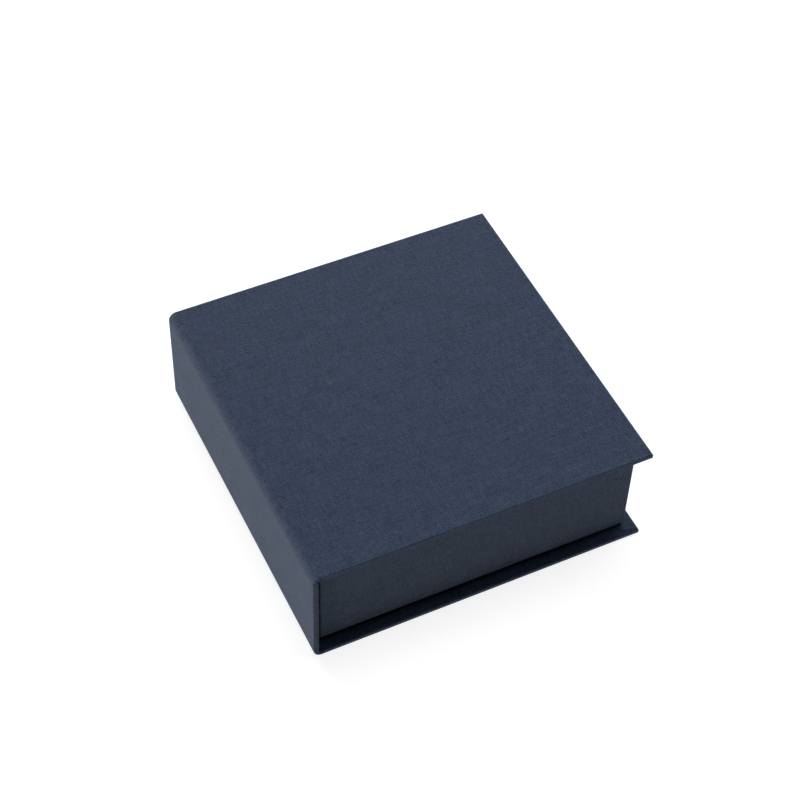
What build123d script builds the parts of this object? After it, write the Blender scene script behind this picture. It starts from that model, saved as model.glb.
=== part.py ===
"""Clamshell book box: two trays hinged to one spine by cloth joints, closed and lying flat.

Millimetres, +Z up. The origin is the middle of the underside. -X is the spine, +X the fore edge,
-Y the tail and +Y the head. The base and the lid are cloth-covered boards as large as the box, and each
carries a tray: the lid's, with three walls, comes down outside the base's, which has four.
"""
from build123d import *
from math import pi
import os

# Driving dimensions
width = 170.0  # spine to fore edge
length = 172.0  # tail to head
height = 60.0  # table to the top of the lid
board = 2.0  # greyboard of cases, trays and spine
cloth = 0.35  # book cloth
paper = 0.2  # lining paper of the tray floors
square = 5.5  # how far a case board reaches past the lid's tray
joint_radius = 4.7  # bend of the cloth over each spine edge
corner_radius = 1.2  # softened corners of the case boards, in plan
turn_in = 15.0  # cloth turned over the inner face of a board
liner_inset = 3.0  # from the ends of the spine to the hinge liner
liner_flap = 20.0  # hinge liner pasted to each case board, under its tray
tray_start = 0.9  # from the end of a joint to the trays
side_gap = 1.0  # between the trays, at head and tail
running_gap = 0.5  # between the trays at the fore edge, where they pass closest
lift_gap = 2.0  # from the base board up to the rim of the lid's tray
rest_gap = 0.3  # from the rim of the base's tray up to the lid's lining
lining_margin = 0.5  # round the lining paper

# Outer faces
spine_x = -width / 2
fore_x = width / 2
tail_y = -length / 2
head_y = length / 2

# Layers of a covered board, counted from its outer face
case = board + 2 * cloth
case_board_x = spine_x + joint_radius  # boards end where the joint's bend begins
base_top_z = case
lid_bottom_z = height - case
flap_x = case_board_x + liner_flap

# Lid tray: outer box, covered wall thickness `case`
lid_tray_x = case_board_x + tray_start
lid_tray_fore_x = fore_x - square
lid_tray_tail_y = tail_y + square
lid_tray_head_y = head_y - square
lid_rim_z = base_top_z + lift_gap
lid_floor_top_z = lid_bottom_z - cloth
lid_floor_z = lid_floor_top_z - board
lid_lining_z = lid_floor_z - paper

# The lid swings about axes this far in from the outer faces. The joint's cloth is as long as its bend, so
# with the case laid out flat that length is the space between the boards.
axis_inset = joint_radius - pi * joint_radius / 4

# Base tray. While both joints open together the lid's fore wall first leans back over the rim of the base's
# fore wall by reach**2 / (8 * arm), so the trays stand that much further apart there.
base_tray_x = case_board_x + tray_start
base_rim_z = lid_lining_z - rest_gap
reach = 2 * base_rim_z - height
arm = width - square - case - axis_inset
fore_gap = reach**2 / (8 * arm) + running_gap
base_tray_fore_x = lid_tray_fore_x - case - fore_gap
base_tray_tail_y = lid_tray_tail_y + case + side_gap
base_tray_head_y = lid_tray_head_y - case - side_gap
base_wall_z = base_top_z + cloth
base_floor_top_z = base_wall_z + board

# Sketch planes whose normal points to the tail
head_plane = Plane.XZ.offset(-head_y)
tail_plane = Plane.XZ.offset(-tail_y)
mid_height = Plane.XY.offset(height / 2)

os.makedirs("parts", exist_ok=True)


def plate(x_low, x_high, y_low, y_high, mode=Mode.ADD):
    """Adds the rectangle between these bounds to the open sketch."""
    with Locations(((x_low + x_high) / 2, (y_low + y_high) / 2)):
        Rectangle(x_high - x_low, y_high - y_low, mode=mode)


def slab(z_low, z_high, x_low, x_high, y_low, y_high, mode=Mode.ADD):
    """Adds a block to the open part, or cuts one from it."""
    with BuildSketch(Plane.XY.offset(z_low)) as outline:
        plate(x_low, x_high, y_low, y_high)
    extrude(outline.sketch, amount=z_high - z_low, mode=mode)


def soften_fore_corners(radius):
    """Rounds the two upright edges of the open part that are nearest the fore edge."""
    corners = edges().filter_by(Axis.Z).group_by(Axis.X)[-1]
    fillet(corners, radius=radius)


def fill_case_board(z_low):
    """Greyboard of a case, in the open part."""
    slab(z_low, z_low + board, case_board_x, fore_x - cloth, tail_y + cloth, head_y - cloth)
    soften_fore_corners(corner_radius - cloth)


def wrap_case_board(outer_z, board_z, inner_z):
    """Cloth of a case in the open part: over the outer face and three edges, and turned in round the inner face."""
    bottom = min(outer_z, inner_z)
    slab(bottom, bottom + case, case_board_x, fore_x, tail_y, head_y)
    soften_fore_corners(corner_radius)
    with BuildSketch(Plane.XY.offset(board_z)) as pocket:
        plate(case_board_x, fore_x - cloth, tail_y + cloth, head_y - cloth)
        fillet(vertices().group_by(Axis.X)[-1], radius=corner_radius - cloth)
    extrude(pocket.sketch, amount=board, mode=Mode.SUBTRACT)
    with BuildSketch(Plane.XY.offset(inner_z)) as window:
        plate(case_board_x, fore_x - turn_in, tail_y + turn_in, head_y - turn_in)
        plate(case_board_x, flap_x, tail_y + liner_inset, head_y - liner_inset)
    extrude(window.sketch, amount=cloth, mode=Mode.SUBTRACT)


def joint_disc(radius, mode=Mode.ADD):
    """Disc about the centre of the lower joint's bend, in the open sketch on an XZ plane."""
    with Locations((case_board_x, joint_radius)):
        Circle(radius, mode=mode)


def keep_joint_quarter():
    """Trims the open sketch to the quarter of the bend between base and spine."""
    plate(spine_x, case_board_x, 0, joint_radius, mode=Mode.INTERSECT)


def draw_bend(thickness):
    """Layer of the lower joint in the open sketch, this far in from the outer face of its bend."""
    joint_disc(joint_radius)
    joint_disc(joint_radius - thickness, mode=Mode.SUBTRACT)
    keep_joint_quarter()


def draw_groove():
    """Liner of the lower joint in the open sketch: over the inside of the bend, and up the ends of both boards."""
    joint_disc(joint_radius - cloth)
    joint_disc(joint_radius - 2 * cloth, mode=Mode.SUBTRACT)
    keep_joint_quarter()
    plate(case_board_x - cloth, case_board_x, cloth, case)
    plate(spine_x + cloth, spine_x + case, joint_radius - cloth, joint_radius)
    joint_disc(joint_radius - cloth, mode=Mode.INTERSECT)


# ---- Base case ----

with BuildPart() as base_board:
    fill_case_board(cloth)
base_board.part.label = "base_board"
export_step(base_board.part, "parts/base_board.step")

with BuildPart() as base_cover_cloth:
    wrap_case_board(outer_z=0, board_z=cloth, inner_z=base_top_z - cloth)
base_cover_cloth.part.label = "base_cover_cloth"
export_step(base_cover_cloth.part, "parts/base_cover_cloth.step")

with BuildPart() as base_liner_flap:
    slab(base_top_z - cloth, base_top_z, case_board_x, flap_x, tail_y + liner_inset, head_y - liner_inset)
base_liner_flap.part.label = "base_liner_flap"
export_step(base_liner_flap.part, "parts/base_liner_flap.step")

# ---- Base tray: a floor with four walls butted round it ----

base_wall_x = base_tray_x + cloth
base_wall_fore_x = base_tray_fore_x - cloth
base_wall_tail_y = base_tray_tail_y + cloth
base_wall_head_y = base_tray_head_y - cloth
base_floor_x = base_wall_x + board
base_floor_fore_x = base_wall_fore_x - board
base_floor_tail_y = base_wall_tail_y + board
base_floor_head_y = base_wall_head_y - board
base_wall_top_z = base_rim_z - cloth

with BuildPart() as base_tray_floor:
    slab(base_wall_z, base_floor_top_z, base_floor_x, base_floor_fore_x, base_floor_tail_y, base_floor_head_y)
base_tray_floor.part.label = "base_tray_floor"
export_step(base_tray_floor.part, "parts/base_tray_floor.step")

with BuildPart() as base_tray_spine_wall:
    slab(base_wall_z, base_wall_top_z, base_wall_x, base_floor_x, base_wall_tail_y, base_wall_head_y)
base_tray_spine_wall.part.label = "base_tray_spine_wall"
export_step(base_tray_spine_wall.part, "parts/base_tray_spine_wall.step")

with BuildPart() as base_tray_fore_wall:
    slab(base_wall_z, base_wall_top_z, base_floor_fore_x, base_wall_fore_x, base_wall_tail_y, base_wall_head_y)
base_tray_fore_wall.part.label = "base_tray_fore_wall"
export_step(base_tray_fore_wall.part, "parts/base_tray_fore_wall.step")

with BuildPart() as base_tray_tail_wall:
    slab(base_wall_z, base_wall_top_z, base_floor_x, base_floor_fore_x, base_wall_tail_y, base_floor_tail_y)
base_tray_tail_wall.part.label = "base_tray_tail_wall"
export_step(base_tray_tail_wall.part, "parts/base_tray_tail_wall.step")

with BuildPart() as base_tray_head_wall:
    slab(base_wall_z, base_wall_top_z, base_floor_x, base_floor_fore_x, base_floor_head_y, base_wall_head_y)
base_tray_head_wall.part.label = "base_tray_head_wall"
export_step(base_tray_head_wall.part, "parts/base_tray_head_wall.step")

with BuildPart() as base_tray_cloth:
    # outside of the walls, their rims and the turn-in under the floor
    slab(base_top_z, base_rim_z, base_tray_x, base_tray_fore_x, base_tray_tail_y, base_tray_head_y)
    # space for what the box keeps, inside the cloth that runs down to the floor
    slab(
        base_floor_top_z,
        base_rim_z,
        base_floor_x + cloth,
        base_floor_fore_x - cloth,
        base_floor_tail_y + cloth,
        base_floor_head_y - cloth,
        mode=Mode.SUBTRACT,
    )
    # the walls
    with BuildSketch(Plane.XY.offset(base_wall_z)):
        plate(base_wall_x, base_wall_fore_x, base_wall_tail_y, base_wall_head_y)
        plate(base_floor_x, base_floor_fore_x, base_floor_tail_y, base_floor_head_y, mode=Mode.SUBTRACT)
    extrude(amount=base_wall_top_z - base_wall_z, mode=Mode.SUBTRACT)
    # the floor
    slab(
        base_wall_z,
        base_floor_top_z,
        base_floor_x,
        base_floor_fore_x,
        base_floor_tail_y,
        base_floor_head_y,
        mode=Mode.SUBTRACT,
    )
    # under the floor the cloth stops at the turn-in's edge
    slab(
        base_top_z,
        base_wall_z,
        base_tray_x + turn_in,
        base_tray_fore_x - turn_in,
        base_tray_tail_y + turn_in,
        base_tray_head_y - turn_in,
        mode=Mode.SUBTRACT,
    )
base_tray_cloth.part.label = "base_tray_cloth"
export_step(base_tray_cloth.part, "parts/base_tray_cloth.step")

with BuildPart() as base_tray_lining:
    slab(
        base_floor_top_z,
        base_floor_top_z + paper,
        base_floor_x + cloth + lining_margin,
        base_floor_fore_x - cloth - lining_margin,
        base_floor_tail_y + cloth + lining_margin,
        base_floor_head_y - cloth - lining_margin,
    )
base_tray_lining.part.label = "base_tray_lining"
export_step(base_tray_lining.part, "parts/base_tray_lining.step")

# ---- Spine ----

spine_low_z = joint_radius
spine_high_z = height - joint_radius

with BuildPart() as spine_board:
    slab(spine_low_z, spine_high_z, spine_x + cloth, spine_x + cloth + board, tail_y + cloth, head_y - cloth)
spine_board.part.label = "spine_board"
export_step(spine_board.part, "parts/spine_board.step")

with BuildPart() as spine_cover_cloth:
    slab(spine_low_z, spine_high_z, spine_x, spine_x + case, tail_y, head_y)
    # the board, and the hinge liner between the turned-in ends
    slab(
        spine_low_z,
        spine_high_z,
        spine_x + cloth,
        spine_x + cloth + board,
        tail_y + cloth,
        head_y - cloth,
        mode=Mode.SUBTRACT,
    )
    slab(
        spine_low_z,
        spine_high_z,
        spine_x + cloth + board,
        spine_x + case,
        tail_y + liner_inset,
        head_y - liner_inset,
        mode=Mode.SUBTRACT,
    )
spine_cover_cloth.part.label = "spine_cover_cloth"
export_step(spine_cover_cloth.part, "parts/spine_cover_cloth.step")

with BuildPart() as spine_liner:
    slab(
        spine_low_z,
        spine_high_z,
        spine_x + cloth + board,
        spine_x + case,
        tail_y + liner_inset,
        head_y - liner_inset,
    )
spine_liner.part.label = "spine_liner"
export_step(spine_liner.part, "parts/spine_liner.step")

# ---- Cloth joints: the cover's bend, its bunched turned-in ends, and the liner pasted into the groove ----

with BuildPart() as lower_joint_cloth:
    with BuildSketch(head_plane):
        draw_bend(cloth)
    extrude(amount=length)
    with BuildSketch(head_plane):
        draw_bend(case)
    extrude(amount=liner_inset)
    with BuildSketch(tail_plane):
        draw_bend(case)
    extrude(amount=-liner_inset)
lower_joint_cloth.part.label = "lower_joint_cloth"
export_step(lower_joint_cloth.part, "parts/lower_joint_cloth.step")

with BuildPart() as lower_joint_liner:
    with BuildSketch(head_plane.offset(liner_inset)):
        draw_groove()
    extrude(amount=length - 2 * liner_inset)
lower_joint_liner.part.label = "lower_joint_liner"
export_step(lower_joint_liner.part, "parts/lower_joint_liner.step")

with BuildPart() as upper_joint_cloth:
    mirror(lower_joint_cloth.part, about=mid_height)
upper_joint_cloth.part.label = "upper_joint_cloth"
export_step(upper_joint_cloth.part, "parts/upper_joint_cloth.step")

with BuildPart() as upper_joint_liner:
    mirror(lower_joint_liner.part, about=mid_height)
upper_joint_liner.part.label = "upper_joint_liner"
export_step(upper_joint_liner.part, "parts/upper_joint_liner.step")

# ---- Lid case ----

with BuildPart() as lid_board:
    fill_case_board(height - cloth - board)
lid_board.part.label = "lid_board"
export_step(lid_board.part, "parts/lid_board.step")

with BuildPart() as lid_cover_cloth:
    wrap_case_board(outer_z=height, board_z=height - cloth - board, inner_z=lid_bottom_z)
lid_cover_cloth.part.label = "lid_cover_cloth"
export_step(lid_cover_cloth.part, "parts/lid_cover_cloth.step")

with BuildPart() as lid_liner_flap:
    slab(lid_bottom_z, lid_bottom_z + cloth, case_board_x, flap_x, tail_y + liner_inset, head_y - liner_inset)
lid_liner_flap.part.label = "lid_liner_flap"
export_step(lid_liner_flap.part, "parts/lid_liner_flap.step")

# ---- Lid tray: a floor with three walls butted round it, open towards the spine ----

lid_wall_x = lid_tray_x + cloth
lid_wall_fore_x = lid_tray_fore_x - cloth
lid_wall_tail_y = lid_tray_tail_y + cloth
lid_wall_head_y = lid_tray_head_y - cloth
lid_floor_fore_x = lid_wall_fore_x - board
lid_floor_tail_y = lid_wall_tail_y + board
lid_floor_head_y = lid_wall_head_y - board
lid_wall_z = lid_rim_z + cloth

with BuildPart() as lid_tray_floor:
    slab(lid_floor_z, lid_floor_top_z, lid_wall_x, lid_floor_fore_x, lid_floor_tail_y, lid_floor_head_y)
lid_tray_floor.part.label = "lid_tray_floor"
export_step(lid_tray_floor.part, "parts/lid_tray_floor.step")

with BuildPart() as lid_tray_fore_wall:
    slab(lid_wall_z, lid_floor_top_z, lid_floor_fore_x, lid_wall_fore_x, lid_wall_tail_y, lid_wall_head_y)
lid_tray_fore_wall.part.label = "lid_tray_fore_wall"
export_step(lid_tray_fore_wall.part, "parts/lid_tray_fore_wall.step")

with BuildPart() as lid_tray_tail_wall:
    slab(lid_wall_z, lid_floor_top_z, lid_wall_x, lid_floor_fore_x, lid_wall_tail_y, lid_floor_tail_y)
lid_tray_tail_wall.part.label = "lid_tray_tail_wall"
export_step(lid_tray_tail_wall.part, "parts/lid_tray_tail_wall.step")

with BuildPart() as lid_tray_head_wall:
    slab(lid_wall_z, lid_floor_top_z, lid_wall_x, lid_floor_fore_x, lid_floor_head_y, lid_wall_head_y)
lid_tray_head_wall.part.label = "lid_tray_head_wall"
export_step(lid_tray_head_wall.part, "parts/lid_tray_head_wall.step")

with BuildPart() as lid_tray_cloth:
    # outside of the walls, their rims and ends, and the turn-in over the floor's outer face
    slab(lid_rim_z, lid_bottom_z, lid_tray_x, lid_tray_fore_x, lid_tray_tail_y, lid_tray_head_y)
    # space for the base's tray, open to the spine
    slab(
        lid_rim_z,
        lid_floor_z,
        lid_tray_x,
        lid_floor_fore_x - cloth,
        lid_floor_tail_y + cloth,
        lid_floor_head_y - cloth,
        mode=Mode.SUBTRACT,
    )
    # the walls, which leave cloth over their spine ends
    with BuildSketch(Plane.XY.offset(lid_wall_z)):
        plate(lid_wall_x, lid_wall_fore_x, lid_wall_tail_y, lid_wall_head_y)
        plate(lid_wall_x, lid_floor_fore_x, lid_floor_tail_y, lid_floor_head_y, mode=Mode.SUBTRACT)
    extrude(amount=lid_floor_top_z - lid_wall_z, mode=Mode.SUBTRACT)
    # the floor
    slab(
        lid_floor_z,
        lid_floor_top_z,
        lid_wall_x,
        lid_floor_fore_x,
        lid_floor_tail_y,
        lid_floor_head_y,
        mode=Mode.SUBTRACT,
    )
    # on the floor's outer face the cloth stops at the turn-in's edge
    slab(
        lid_floor_top_z,
        lid_bottom_z,
        lid_tray_x + turn_in,
        lid_tray_fore_x - turn_in,
        lid_tray_tail_y + turn_in,
        lid_tray_head_y - turn_in,
        mode=Mode.SUBTRACT,
    )
lid_tray_cloth.part.label = "lid_tray_cloth"
export_step(lid_tray_cloth.part, "parts/lid_tray_cloth.step")

with BuildPart() as lid_tray_lining:
    slab(
        lid_lining_z,
        lid_floor_z,
        lid_wall_x + lining_margin,
        lid_floor_fore_x - cloth - lining_margin,
        lid_floor_tail_y + cloth + lining_margin,
        lid_floor_head_y - cloth - lining_margin,
    )
lid_tray_lining.part.label = "lid_tray_lining"
export_step(lid_tray_lining.part, "parts/lid_tray_lining.step")
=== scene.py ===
"""Clamshell book box: its cloth, paper and board finishes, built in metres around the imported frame.

The greyboards are the frame's own. Every sheet of cloth or paper is a thin closed mesh that wraps them.
"""
import math

import bmesh
import bpy
import numpy as np
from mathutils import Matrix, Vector


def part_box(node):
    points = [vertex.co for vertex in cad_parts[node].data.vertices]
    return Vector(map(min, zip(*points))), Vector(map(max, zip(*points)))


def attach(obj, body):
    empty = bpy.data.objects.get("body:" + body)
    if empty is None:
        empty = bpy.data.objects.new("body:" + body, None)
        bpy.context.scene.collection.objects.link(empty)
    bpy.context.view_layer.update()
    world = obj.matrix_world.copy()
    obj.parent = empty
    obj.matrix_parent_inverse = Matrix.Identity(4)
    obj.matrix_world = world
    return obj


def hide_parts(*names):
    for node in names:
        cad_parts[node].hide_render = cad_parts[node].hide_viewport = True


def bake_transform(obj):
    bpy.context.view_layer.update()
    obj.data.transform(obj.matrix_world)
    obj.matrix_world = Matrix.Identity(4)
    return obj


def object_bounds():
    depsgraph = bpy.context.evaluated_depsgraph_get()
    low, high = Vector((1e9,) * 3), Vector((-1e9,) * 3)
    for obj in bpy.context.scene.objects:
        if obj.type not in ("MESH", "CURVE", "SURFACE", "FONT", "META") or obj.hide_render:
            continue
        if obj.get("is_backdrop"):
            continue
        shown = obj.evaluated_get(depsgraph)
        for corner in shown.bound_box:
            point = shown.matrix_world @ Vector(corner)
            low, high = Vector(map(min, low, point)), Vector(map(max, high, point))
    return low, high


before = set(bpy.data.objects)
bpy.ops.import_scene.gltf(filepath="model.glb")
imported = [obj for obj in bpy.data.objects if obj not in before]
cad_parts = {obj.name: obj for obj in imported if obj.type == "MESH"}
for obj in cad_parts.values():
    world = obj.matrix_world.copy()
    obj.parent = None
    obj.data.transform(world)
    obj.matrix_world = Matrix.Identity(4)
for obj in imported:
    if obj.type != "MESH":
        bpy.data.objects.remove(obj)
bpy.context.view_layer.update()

MM = 0.001

# Thicknesses and sizes that the frame's boxes don't give
CLOTH = 0.35 * MM
SHELL = 0.34 * MM  # cloth as it is modelled, a hair short of the board inside it
BOARD = 2.0 * MM
COVERED = BOARD + 2 * CLOTH
CORNER = 0.3 * MM  # corners of the covers, in plan
TURN_IN = 15 * MM
LINER_INSET = 3 * MM
HEM = 3 * CLOTH  # folded cloth at the ends of a joint
HAIR = 0.01 * MM  # parts two faces that would lie in one plane

# Rounding of the cloth over the edges of the boards
OUTER_ROLL = 0.75 * MM
INNER_ROLL = 0.6 * MM
JOINT_ROLL = 0.4 * MM  # half way round a joint, where no board fills the cloth
JOINT_CREASE = 0.2 * MM
LINER_FOLD = 0.3 * MM
RIM_ROLL = 0.8 * MM
FLANGE_ROLL = 0.45 * MM
TRAY_CORNER = 0.9 * MM
SPINE_CREASE = 0.07 * MM

# Places from the frame
low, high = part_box("lid_cover_cloth")
JOINT_X = low.x  # where the boards end and the joint begins
FORE_X = high.x
TAIL_Y = low.y
HEAD_Y = high.y
TOP_Z = high.z
low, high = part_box("spine_cover_cloth")
SPINE_X = low.x
SPINE_LOW_Z = low.z
SPINE_HIGH_Z = high.z
JOINT_RADIUS = JOINT_X - SPINE_X
FLAP_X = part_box("base_liner_flap")[1].x

WELD = 0.001 * MM  # corners nearer than this are one
WELD_SHIFT = 0.137  # keeps round sizes off the border between two cells of that size


def smooth(x):
    x = min(1.0, max(0.0, x))
    return x * x * (3 - 2 * x)


def spread(a, b, steps):
    return [a + (b - a) * k / steps for k in range(steps + 1)]


def arc(centre, radius, start, end, steps):
    """Points on an arc. Angles are in degrees from the first axis."""
    angles = [math.radians(a) for a in spread(start, end, steps)]
    return [(centre[0] + radius * math.cos(a), centre[1] + radius * math.sin(a)) for a in angles]


def length_along(line):
    """Distance along a line of points, at each of them."""
    far = [0.0]
    for a, b in zip(line, line[1:]):
        far.append(far[-1] + math.dist(a, b))
    return far


def line_normals(line, closed=False, crease=40):
    """For each run of a flat line, the normals at its two ends.

    A run shares them with the next unless the line turns there by more than crease degrees. The longer
    run has the greater say, so flats stay flat beside their rounded edges."""
    count = len(line) - (0 if closed else 1)
    own = []
    for k in range(count):
        run = Vector(line[(k + 1) % len(line)]) - Vector(line[k])
        own.append(Vector((run.y, -run.x)))
    limit = math.cos(math.radians(crease))

    def shared(a, b):
        together = a + b if a.normalized().dot(b.normalized()) > limit else b
        return together.normalized()

    ends = []
    for k in range(count):
        before = own[k - 1] if closed or k > 0 else own[k]
        after = own[(k + 1) % count] if closed or k < count - 1 else own[k]
        ends.append((shared(before, own[k]), shared(after, own[k])))
    return ends


# ---- Meshes ----


class Skin:
    """Faces whose corners weld where they meet. Each keeps its own place on the cloth and its normal."""

    def __init__(self):
        self.index = {}
        self.points = []
        self.faces = []

    def face(self, points, cloth, normals=None):
        corners = {}
        for k, point in enumerate(points):
            key = tuple(round(c / WELD + WELD_SHIFT) for c in point)
            i = self.index.setdefault(key, len(self.points))
            if i == len(self.points):
                self.points.append(tuple(point))
            corners.setdefault(i, (cloth[k], normals[k] if normals else None))
        if len(corners) > 2:
            self.faces.append(corners)

    def strip(self, line, other, cloth):
        """Quads between two lines of as many points."""
        for k in range(len(line) - 1):
            m = k + 1
            self.face([line[k], line[m], other[m], other[k]], [cloth[k], cloth[m], cloth[m], cloth[k]])

    def solid(self, rings, lean):
        """A closed solid through rings of points.

        lean is the axis that the cloth's second coordinate leans along."""

        def place(p):
            return (p[0] + p[1], p[2] - p[lean])

        for a, b in zip(rings, rings[1:]):
            a, b = a + a[:1], b + b[:1]
            for k in range(len(a) - 1):
                points = [a[k], a[k + 1], b[k + 1], b[k]]
                self.face(points, [place(p) for p in points])
        for ring in (rings[0], rings[-1]):
            self.face(ring, [place(p) for p in ring])

    def sweep(self, loops, stations):
        """A closed solid through closed loops of flat points, one at each station.

        A station is (origin, first axis, second axis, distance along the cloth)."""
        ends = [line_normals(loop, closed=True) for loop in loops]
        around = length_along(loops[0] + loops[0][:1])
        rings = [[o + a * p[0] + b * p[1] for p in loop] for loop, (o, a, b, _) in zip(loops, stations)]
        for k in range(len(rings[0])):
            m = (k + 1) % len(rings[0])
            for i in range(len(stations) - 1):
                spots = [(i, k, k, 0), (i, m, k + 1, 1), (i + 1, m, k + 1, 1), (i + 1, k, k, 0)]
                points = [rings[s][p] for s, p, _, _ in spots]
                cloth = [(stations[s][3], around[far]) for s, _, far, _ in spots]
                turned = []
                for s, _, _, e in spots:
                    _, a, b, _ = stations[s]
                    turned.append(a * ends[s][k][e].x + b * ends[s][k][e].y)
                self.face(points, cloth, turned)
        for k in (0, -1):
            self.face(rings[k], [(stations[k][3] + p[1], p[0]) for p in loops[k]])

    def make(self, name):
        """The piece, with its faces turned outward."""
        mesh = bpy.data.meshes.new(name)
        mesh.from_pydata(self.points, [], [list(corners) for corners in self.faces])
        work = bmesh.new()
        work.from_mesh(mesh)
        bmesh.ops.recalc_face_normals(work, faces=work.faces)
        work.to_mesh(mesh)
        work.free()
        cloth, normals = [], []
        for face, corners in zip(mesh.polygons, self.faces):
            for i in face.vertices:
                place, normal = corners[i]
                normal = Vector(normal or face.normal).normalized()
                if normal.dot(face.normal) < 0:
                    normal.negate()
                cloth.append(place)
                normals.append(normal)
        mesh.uv_layers.new(name="cloth").uv.foreach_set("vector", np.array(cloth, np.float32).ravel())
        mesh.polygons.foreach_set("use_smooth", [True] * len(mesh.polygons))
        mesh.normals_split_custom_set(normals)
        piece = bpy.data.objects.new(name, mesh)
        bpy.context.scene.collection.objects.link(piece)
        return piece


SIDES = [(0, -1), (1, 0), (0, 1), (-1, 0)]  # outward at the tail, fore, head and spine


class Plan:
    """A rectangle with rounded corners, walked from the spine along the tail, fore and head sides.

    An open one stops at the spine, and a closed one goes along it too. A sample is (side, share of its
    length, None), or (side, 0, degrees) on the corner after that side. With a square fore end, the tail and
    head sides stop in line there, whatever the distance in."""

    def __init__(self, low, high, corner, is_open, square_fore=False):
        self.low, self.high, self.corner = low, high, corner
        self.is_open, self.square_fore = is_open, square_fore

    def samples(self, shares):
        found = []
        for side, places in enumerate(shares):
            found += [(side, t, None) for t in places]
            if side < len(shares) - 1 or not self.is_open:
                found += [(side, 0.0, angle) for angle in (15, 30, 45, 60, 75)]
        return found

    def centre(self, side, margin):
        """Centre of the corner after a side, for a rounding that is margin in from both sides."""
        x = self.high.x - margin if side % 4 in (0, 1) else self.low.x + margin
        if self.square_fore and side % 4 in (0, 1):
            x = self.high.x
        y = self.high.y - margin if side % 4 in (1, 2) else self.low.y + margin
        return x, y

    def outward(self, sample):
        side, _, angle = sample
        if angle is None:
            return SIDES[side]
        a = math.radians(90 * side - 90 + angle)
        return math.cos(a), math.sin(a)

    def point(self, sample, inset):
        side, t, angle = sample
        margin = max(self.corner, inset)
        radius = margin - inset
        out_x, out_y = self.outward(sample)
        x, y = self.centre(side, margin)
        if angle is None:
            from_x, from_y = self.centre(side - 1, margin)
            if self.is_open and side == 0:
                from_x = self.low.x
            if self.is_open and side == 2:
                x = self.low.x
            x = from_x + (x - from_x) * t
            y = from_y + (y - from_y) * t
        return x + radius * out_x, y + radius * out_y


def wrap_columns(plan, samples, profile, under, level):
    """The points of wrap's two skins at each place round the plan, as (sample, walked, outer, inner)."""
    around = samples if plan.is_open else samples + samples[:1]
    walked, before, columns = 0.0, None, []
    for sample in around:
        here = plan.point(sample, 0.0)
        walked += math.dist(here, before or here)
        before = here
        lines = []
        for line in (profile, [under(point) for point in profile]):
            places = [plan.point(sample, inset) for inset, _ in line]
            lines.append([(x, y, level(x, y, depth)) for (x, y), (_, depth) in zip(places, line)])
        columns.append((sample, walked, *lines))
    return columns


def wrap(skin, plan, samples, profile, under, level, cloth, tilt=None):
    """Two skins of cloth: a profile of (distance in, depth) points carried round a plan, and one inside it.

    under turns a point of the profile into the inner skin's. level(x, y, depth) gives a height,
    cloth(side, x, y, walked, along) the place on the flat sheet, and tilt(x, y) the normal past the profile's
    last bend. Returns the columns of points, as (outer, inner, cloth)."""
    ends = line_normals(profile)
    along = length_along(profile)
    deepest = profile[-1][1]
    rise = 1 if level(0, 0, CLOTH) > level(0, 0, 0) else -1
    columns = wrap_columns(plan, samples, profile, under, level)

    def turned(column, j, end):
        out_x, out_y = plan.outward(column[0])
        x, y, _ = column[2][j + end]
        if tilt and profile[j][1] == deepest:
            return tilt(x, y)
        normal = ends[j][end]
        return (-out_x * normal.x, -out_y * normal.x, rise * normal.y)

    found = []
    for a, b in zip(columns, columns[1:]):
        side, _, angle = b[0]
        side = side if angle is None or angle <= 45 else (side + 1) % 4
        sheet = [[cloth(side, x, y, c[1], v) for (x, y, _), v in zip(c[2], along)] for c in (a, b)]
        for j in range(len(profile) - 1):
            ring = ((a, sheet[0], 0), (b, sheet[1], 0), (b, sheet[1], 1), (a, sheet[0], 1))
            spots = [(column, place, j + end, end) for column, place, end in ring]
            uv = [place[i] for _, place, i, _ in spots]
            skin.face([c[2][i] for c, _, i, _ in spots], uv, [turned(c, j, e) for c, _, _, e in spots])
            skin.face([c[3][i] for c, _, i, _ in spots], uv)
        found.append((a[2], a[3], sheet[0]))
        skin.strip([a[2][-1], b[2][-1]], [a[3][-1], b[3][-1]], [sheet[0][-1], sheet[1][-1]])
    found.append((b[2], b[3], sheet[1]))
    return found


# ---- Covers of the base and the lid ----

# The fore turn-in laps over the turn-ins of the tail and head, and ends in two low ridges at each corner
LAP_EDGE = 0.5 * MM
LAP_SLOPE = 0.19
LAP_LENGTH = 6.5 * MM
LAP_HEIGHT = 0.34 * MM
LAP_SOFTNESS = 0.22 * MM
LAP_GROOVE = 0.24 * MM  # depth and half width of the crease along the lap
LAP_LINE = 0.36 * MM
LAP_START = 0.3 * MM  # where it rises from the rounded fore edge, and how far that takes
LAP_RISE = 0.8 * MM
LAP_END = 8 * MM  # where it sinks in again, before the base's tray, and how far that takes
LAP_FADE = 2.4 * MM
LAP_REACH = 9 * MM  # how far in the mesh is fine enough for it
LAP_SHARE = 0.08  # and along how much of a side, from its corner
FACE_RIM = 2.2 * MM  # how far from the edge the finer mesh reaches on the outer face


def end_edge(thickness, outer_roll, inner_roll, crease=0.0):
    """Cloth over the end of a board, from its outer face to its inner one, as (distance in, depth)."""
    outer = arc((outer_roll, outer_roll), outer_roll, 270, 180, 6)
    inner = arc((inner_roll, thickness - inner_roll), inner_roll, 180, 90, 5)
    middle = []
    if crease:
        centre = (outer_roll + thickness - inner_roll) / 2
        middle = [(0.0, centre - 3 * crease), (crease, centre), (0.0, centre + 3 * crease)]
    return outer + middle + inner


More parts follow.
